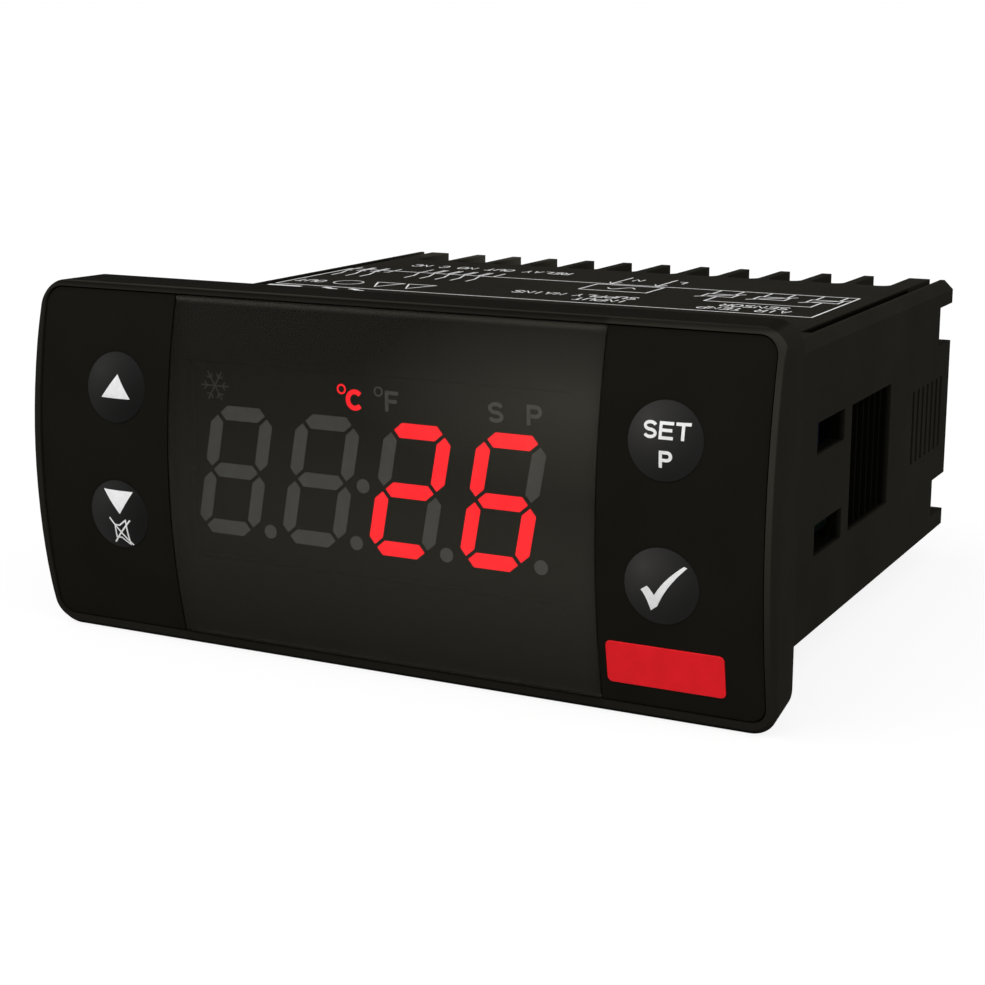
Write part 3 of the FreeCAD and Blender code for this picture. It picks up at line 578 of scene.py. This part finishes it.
def letter(sign, width, height, weight):
    """Centre lines of one of the plain capitals E, T, F, P, C and S, whose strokes fill the box."""
    half = weight/2
    inner = height - weight
    top = height - half
    if sign == "E":
        bar = height*0.52
        return [[(width, top), (half, top), (half, half), (width, half)], [(half, bar), (width*0.92, bar)]]
    if sign == "T":
        return [[(0, top), (width, top)], [(width/2, height - weight), (width/2, 0)]]
    if sign == "F":
        bar = height*0.5
        return [[(width, top), (half, top), (half, 0)], [(half, bar), (width*0.9, bar)]]
    if sign == "P":
        bowl = inner*0.28
        round_end = arc((width - half - bowl, top - bowl), (bowl, bowl), 90, -90)
        return [np.vstack([[(half, 0), (half, top)], round_end, [(half, top - 2*bowl)]])]
    if sign == "C":
        return [arc((width/2, height/2), (width/2 - half, inner/2), 42, 318)]
    swing = (width/2 - half, inner/4)
    upper = arc((width/2, top - swing[1]), swing, 20, 270)
    lower = arc((width/2, half + swing[1]), swing, 90, -160)
    return [np.vstack([upper, lower])]


def word(text, left, bottom, width, height, weight, gap):
    """Bands of letters set side by side from a lower left corner."""
    bands = []
    for place, sign in enumerate(text):
        start = np.array([left + place*(width + gap), bottom])
        bands += [(np.asarray(path) + start, weight) for path in letter(sign, width, height, weight)]
    return bands


def ring(centre, radius, weight):
    """A round stroke."""
    return [(arc(centre, (radius, radius), 0, 360, 32), weight)]


# Keys and their signs

# Half the width of the blunt tip of a solid triangle.
TIP_HALF = 0.01


def ruled(first, second, count=16):
    """Rows of points that run straight across from one curve to another."""
    across = np.linspace(0, 1, count)[None, :, None]
    return first[:, None]*(1 - across) + second[:, None]*across


def bow(start, pull, end, count=16):
    """Points along a parabola between two ends, which leaves each end towards a third point."""
    along = np.linspace(0, 1, count)[:, None]
    return np.array(start)*(1 - along)**2 + np.array(pull)*2*along*(1 - along) + np.array(end)*along**2


def triangle(tip, left, right, count=16):
    """A solid triangle: rows from its left side to its right, which meet in a slightly blunt tip."""
    tip, left, right = (np.array(corner, float) for corner in (tip, left, right))
    blunt = TIP_HALF*(right - left)/np.linalg.norm(right - left)
    return ruled(np.linspace(tip - blunt, left, count), np.linspace(tip + blunt, right, count))


def up_sign():
    """A solid triangle."""
    return [triangle((0.48, 1.36), (-1.37, -0.95), (1.95, -0.99))]


def down_sign():
    """A solid triangle pointing down over a small crossed-out loudspeaker."""
    pointer = triangle((0.48, 0.19), (-1.53, 2.53), (1.93, 2.47))
    cone = [(-0.25, -1.0), (0.3, -1.0), (1.05, -0.42), (1.15, -3.0), (0.3, -2.3), (-0.3, -2.3)]
    slashes = ([(-0.85, -0.3), (1.45, -3.05)], [(1.55, -0.4), (-0.65, -2.9)])
    return [pointer, (cone + cone[:1], 0.15)] + [(slash, 0.16) for slash in slashes]


def set_sign():
    """The letters SET over a P."""
    return word("SET", -1.9, 0.22, 1.28, 1.5, 0.27, 0.2) + word("P", -0.32, -2.22, 1.2, 1.48, 0.29, 0)


def confirm_sign():
    """A tick: a short and a long limb, each between two parabolas, and a pointed heel that joins them."""
    heel, crook, bend = (-0.85, -2.2), (-0.47, -0.74), (-0.2, -1.7)
    short_limb = ruled(bow((-1.75, -0.37), (-1.22, -0.85), heel), bow((-1.13, 0.05), (-0.75, -0.25), crook))
    long_limb = ruled(bow(bend, (0.7, 0.28), (2.43, 1.94)), bow(crook, (0.5, 0.88), (2.16, 2.06)))
    return [short_limb, long_limb, triangle(crook, heel, bend)]


for key in KEY_PAINTED_LIGHT:
    lip = ring((0, 0), (KEY_LIP[0] + KEY_LIP[1])/2, KEY_LIP[1] - KEY_LIP[0])
    printed(f"{key}_lip", lip, on_pad(key), FINISHES["key_panel"], "housing")

SIGNS = {"up": up_sign(), "down": down_sign(), "set": set_sign(), "confirm": confirm_sign()}
for key, bands in SIGNS.items():
    printed(f"{key}_sign", bands, on_key(key), WHITE_INK, f"{key}_key")


# Signs on the display


def snowflake(centre, radius, weight):
    """Six arms from the middle, each with a pair of short branches a little over halfway out."""
    bands = []
    for turn in np.radians(np.arange(0, 360, 60)):
        out = np.array([math.cos(turn), math.sin(turn)])
        bands.append((np.array([[0, 0], out*radius]) + centre, weight))
        for lean in (-0.9, 0.9):
            side = np.array([math.cos(turn + lean), math.sin(turn + lean)])
            fork = out*radius*0.55
            bands.append((np.array([fork, fork + side*radius*0.32]) + centre, weight))
    return bands


unit_bands = ring((-4.36, 9.27), 0.4, 0.17) + word("C", -3.9, 7.35, 1.95, 2.0, 0.46, 0)
dark_bands = (ring((-0.4, 9.35), 0.4, 0.15) + word("F", 0.3, 7.56, 1.4, 1.93, 0.36, 0)
              + word("S", 10.95, 7.5, 1.55, 1.86, 0.36, 0) + word("P", 14.8, 7.55, 1.5, 1.86, 0.36, 0))
printed("unit_icon_lit", unit_bands, on_display, FINISHES["lit_segment"], "housing")
printed("icons_unlit", dark_bands, on_display, ICON_INK, "housing")
printed("cooling_icon", snowflake((-18.6, 8.47), 1.6, 0.15), on_display, FAINT_INK, "housing")


# Plate on the right key panel

# Least corner that an inner ring of the plate keeps.
LEAST_CORNER = 0.02


def rounded_rectangle(width, height, corner, count=12):
    """Outline of a rectangle with round corners, as four quarter circles joined by straight sides."""
    turn = np.linspace(0, math.pi/2, count)
    first = np.stack([np.cos(turn), np.sin(turn)], -1)*corner + (width/2 - corner, height/2 - corner)
    return np.vstack([first, first[::-1]*(-1, 1), -first, first[::-1]*(1, -1)])


def blank_plate():
    """Thin plate bent to the arch: rings of its outline, drawn in and raised along the section of its edge.

    The outline is smaller by an inset at each ring, the last ring is a narrow line along the middle, and
    each ring stands above the arched panel by the height of the section there.
    """
    width, height = PLATE_SIZE
    edge = np.linspace(0, math.pi/2, 5)
    section = [(0, -PLATE_EDGE)]
    section += list(zip(PLATE_EDGE*(1 - np.cos(edge)), PLATE_HEIGHT - PLATE_EDGE*(1 - np.sin(edge))))
    section += [(inset, PLATE_HEIGHT) for inset in np.linspace(PLATE_EDGE, height/2 - PLATE_EDGE, 8)[1:]]
    rings = []
    for inset, above in section:
        corner = max(PLATE_CORNER - inset, LEAST_CORNER)
        outline = rounded_rectangle(width - 2*inset, height - 2*inset, corner) + PLATE_MIDDLE
        across, up = outline[:, 0], outline[:, 1]
        rings.append(np.stack([across, arch_y(up, pad_radius + above), up], -1))
    rings = np.array(rings)
    count, around = rings.shape[:2]
    piece = written("blank_plate", rings.reshape(-1, 3), tube_faces(count, around, 0), RED_ENAMEL)
    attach(piece, "housing")


blank_plate()


# Label on top of the case

# Frame of the label, and the weight of its lines.
LABEL_LEFT = -32.2
LABEL_RIGHT = 30.5
LABEL_FRONT = 26.0
LABEL_REAR = 42.4
LABEL_LINE = 0.2

# Wiring signs: places of the contacts of two outputs, the supply and the sensors with their joining line.
FIRST_CONTACTS = (-30.9, -29.0, -27.1)
SECOND_CONTACTS = (-21.9, -19.9, -17.9, -15.9, -13.9)
SECOND_REAR = LABEL_REAR + 1.4
SUPPLY_PLACE = 4.5
PROBE_PLACES = (16.4, 22.2, 28.0)
PROBE_FOOT = LABEL_REAR - 5.2
PROBE_LINE = 33.4

# Small marks: arrow heads, a ring, and in front of the frame a bar and two curls.
ARROW_HEADS = ((-20.6, 30.0), (-16.6, 30.0))
ROUND_MARK = ((-25.2, 30.2), 1.7, 0.14)
BAR_MARK = ([(-32.3, 24.5), (-28.0, 24.5)], 0.95)
CURL = ((0, 25.2), (0.8, 24.9), (1.4, 24.4), (2.2, 24.2))
CURL_PLACES = (-25.4, -22.0)
CURL_WEIGHT = 0.6

# Words and their middles, and the size and gap of their letters.
LEGENDS = [
    ("OUT", (-29.9, 29.8)), ("RELAY OUT NO C NC", (-16.7, 48.9)), ("N", (3.4, 46.7)),
    ("L", (8.6, 46.6)), ("MAINS", (-2.0, 31.6)), ("SUPPLY", (5.9, 31.6)), ("INPUT", (6.5, 28.9)),
    ("SENSOR", (22.8, 31.1)), ("AIR TEMP", (22.5, 28.5)),
]
LETTER_SIZE = (0.9, 1.7)
LETTER_GAP = 0.35

# Plain capitals of the label, as paths in a box of one by one.
STEM_AND_BOWL = [(0, 0), (0, 1), (0.75, 1), (1, 0.8), (1, 0.65), (0.75, 0.45), (0, 0.45)]
OVAL = [(0.25, 0), (0.75, 0), (1, 0.25), (1, 0.75), (0.75, 1), (0.25, 1), (0, 0.75), (0, 0.25), (0.25, 0)]
STROKES = {
    "A": [[(0, 0), (0.5, 1), (1, 0)], [(0.2, 0.38), (0.8, 0.38)]],
    "C": [OVAL[3:] + [(0.75, 0), (1, 0.25)]],
    "E": [[(1, 1), (0, 1), (0, 0), (1, 0)], [(0, 0.5), (0.8, 0.5)]],
    "I": [[(0.5, 0), (0.5, 1)]],
    "L": [[(0, 1), (0, 0), (1, 0)]],
    "M": [[(0, 0), (0, 1), (0.5, 0.4), (1, 1), (1, 0)]],
    "N": [[(0, 0), (0, 1), (1, 0), (1, 1)]],
    "O": [OVAL],
    "P": [STEM_AND_BOWL],
    "R": [STEM_AND_BOWL, [(0.5, 0.45), (1, 0)]],
    "S": [[(1, 0.85), (0.75, 1), (0.25, 1), (0, 0.8), (0.2, 0.55),
           (0.8, 0.45), (1, 0.2), (0.75, 0), (0.25, 0), (0, 0.15)]],
    "T": [[(0, 1), (1, 1)], [(0.5, 1), (0.5, 0)]],
    "U": [[(0, 1), (0, 0.2), (0.2, 0), (0.8, 0), (1, 0.2), (1, 1)]],
    "Y": [[(0, 1), (0.5, 0.5), (1, 1)], [(0.5, 0.5), (0.5, 0)]],
    " ": [],
}


def legend(text, middle):
    """Paths of a line of plain capitals, centred on a place and read from the rear of the object."""
    width, height = LETTER_SIZE
    step = width + LETTER_GAP
    start = np.array([(len(text)*step - LETTER_GAP)/2, height/2])
    return [start + middle - np.array(path)*LETTER_SIZE - (place*step, 0)
            for place, sign in enumerate(text) for path in STROKES[sign]]


def box_line(x, y, half_width, half_depth):
    """The outline of a box about a place."""
    return [(x + across*half_width, y + deep*half_depth)
            for across, deep in ((-1, -1), (1, -1), (1, 1), (-1, 1), (-1, -1))]


def contact(x, rear):
    """Wiring sign of a changeover contact: two fixed sides that come from the rear, and a leaning blade."""
    paths = [[(x, rear - 6.6), (x, rear - 4.4), (x - 1.0, rear - 1.0)]]
    for side in (-1, 1):
        outer, inner = x + side*0.8, x + side*0.3
        paths.append([(outer, rear + 1.8), (outer, rear - 1.5), (inner, rear - 1.5)])
    return paths


def supply(x):
    """Wiring sign of the supply: two arrows that come from the rear, and a wave in a box between them."""
    middle = LABEL_REAR - 3.3
    wave = np.linspace(-1, 1, 16)
    paths = [np.stack([x + wave*1.6, middle + np.sin(wave*math.pi)*0.9], -1), box_line(x, middle, 4.0, 2.6)]
    for side in (-1, 1):
        foot = x + side*2.75
        barb = LABEL_REAR + 1.6
        paths.append([(foot, LABEL_REAR + 6.5), (foot, LABEL_REAR)])
        paths.append([(foot - 0.7, barb), (foot, LABEL_REAR), (foot + 0.7, barb)])
    return paths


def probe(x):
    """Wiring sign of a sensor: a small box on two legs with a slash through it."""
    legs = [[(x + side*1.3, LABEL_REAR), (x + side*1.3, LABEL_REAR - 3.2)] for side in (-1, 1)]
    slash = [(x - 2.3, LABEL_REAR - 6.0), (x + 2.3, LABEL_REAR - 2.4)]
    return legs + [box_line(x, LABEL_REAR - 4.2, 1.7, 1.0), slash]


def arrow_head(x, y):
    """An outlined arrow head that points to the front."""
    return [(x - 1.7, y + 1.9), (x, y - 1.9), (x + 1.7, y + 1.9), (x - 1.7, y + 1.9)]


def label():
    """Frame, wiring signs and plain words, in white print."""
    middle = ((LABEL_LEFT + LABEL_RIGHT)/2, (LABEL_FRONT + LABEL_REAR)/2)
    paths = [box_line(*middle, (LABEL_RIGHT - LABEL_LEFT)/2, (LABEL_REAR - LABEL_FRONT)/2)]
    for x in FIRST_CONTACTS:
        paths += contact(x, LABEL_REAR)
    for x in SECOND_CONTACTS:
        paths += contact(x, SECOND_REAR)
    paths += supply(SUPPLY_PLACE)
    for x in PROBE_PLACES:
        paths += probe(x)
    first, last = PROBE_PLACES[0], PROBE_PLACES[-1]
    paths.append([(first, PROBE_FOOT), (first, PROBE_LINE), (last, PROBE_LINE), (last, PROBE_FOOT)])
    paths += [arrow_head(*place) for place in ARROW_HEADS]
    for words, place in LEGENDS:
        paths += legend(words, place)
    bands = [(path, LABEL_LINE) for path in paths] + ring(*ROUND_MARK) + [BAR_MARK]
    bands += [([(left + x, y) for x, y in CURL], CURL_WEIGHT) for left in CURL_PLACES]
    return bands


printed("label_print", label(), on_case_top, LABEL_INK, "housing", 2.0)


# Floor, light and camera

# Level of the white all round as a light.
WORLD_LEVEL = 0.55

# Suns: the way towards each, its level on a surface that faces it, and its spread in degrees.
SUNS = {
    "key_light": ((-0.5, -0.55, 0.67), 0.65, 80),
    "side_light": ((0.85, -0.3, 0.3), 0.7, 80),
}

# Floor: half its width, drop below the lowest edge, and tone and glow, each as a light and to the eye.
FLOOR_REACH = 20000.0
FLOOR_DROP = 0.02
FLOOR_TONE = (0.35, 0.15)
FLOOR_GLOW = (0.0, 0.85)

# Camera: sensor, focal length, place, turn in radians, the small shift of its frame and how far it sees.
CAMERA_SENSOR = 36
CAMERA_LENS = 70.863
CAMERA_PLACE = (88.815, -157.449, 40.395)
CAMERA_YAW = 0.474
CAMERA_PITCH = -0.218
CAMERA_SHIFT = (0.00436, -0.0175)
CAMERA_SIGHT = 100000.0


def for_the_eye(tree, dim, plain, socket):
    """Runs a socket to its plain value for what is seen straight on, in gloss or through glass."""
    path = tree.nodes.new("ShaderNodeLightPath")
    ways = ("Is Camera Ray", "Is Glossy Ray", "Is Transmission Ray")
    seen = combined(tree, "MAXIMUM", *(path.outputs[way] for way in ways))
    tree.links.new(mapped(tree, seen, dim, plain, start=0.0, end=1.0), socket)


def studio_world():
    """White all round, dimmer as a light than to the eye."""
    world = bpy.data.worlds.new("studio")
    world.use_nodes = True
    light = world.node_tree.nodes["Background"]
    light.inputs["Color"].default_value = (1, 1, 1, 1)
    for_the_eye(world.node_tree, WORLD_LEVEL, 1.0, light.inputs["Strength"])
    bpy.context.scene.world = world


def floor():
    """Plain pale floor under the lowest edge of the bezel."""
    level = cad_box[0][2]/MM - FLOOR_DROP
    corners = np.array([(across*FLOOR_REACH, deep*FLOOR_REACH, level)
                        for across, deep in ((-1, -1), (1, -1), (1, 1), (-1, 1))])
    material, tree, surface = shader("studio_floor")
    for_the_eye(tree, *FLOOR_TONE, surface.inputs["Base Color"])
    for_the_eye(tree, *FLOOR_GLOW, surface.inputs["Emission Strength"])
    settings(surface, emission_color=(1, 1, 1, 1), roughness=0.9, specular_ior_level=0.0)
    written("studio_floor", corners, [[0, 1, 2, 3]], material)


def soft_sun(name, towards, level, spread):
    """Even light from one way, wide enough for soft shadows, with its level on a surface that faces it."""
    lamp = bpy.data.lights.new(name, "SUN")
    lamp.energy = level*math.pi
    lamp.angle = math.radians(spread)
    holder = bpy.data.objects.new(name, lamp)
    holder.rotation_euler = Vector(towards).to_track_quat("Z", "Y").to_euler()
    bpy.context.scene.collection.objects.link(holder)


def photo_camera():
    """Camera at the photograph's angle: yaw turns it to the left, and a pitch below nought tips it down."""
    lens = bpy.data.cameras.new("photo_camera")
    lens.sensor_width = CAMERA_SENSOR
    lens.lens = CAMERA_LENS
    lens.shift_x, lens.shift_y = CAMERA_SHIFT
    lens.clip_start = MM
    lens.clip_end = CAMERA_SIGHT*MM
    holder = bpy.data.objects.new("photo_camera", lens)
    holder.location = np.array(CAMERA_PLACE)*MM
    holder.rotation_euler = (math.pi/2 + CAMERA_PITCH, 0, CAMERA_YAW)
    bpy.context.scene.collection.objects.link(holder)
    bpy.context.scene.camera = holder


studio_world()
floor()
for name, (towards, level, spread) in SUNS.items():
    soft_sun(name, towards, level, spread)
photo_camera()
bpy.context.scene.view_settings.view_transform = "Standard"
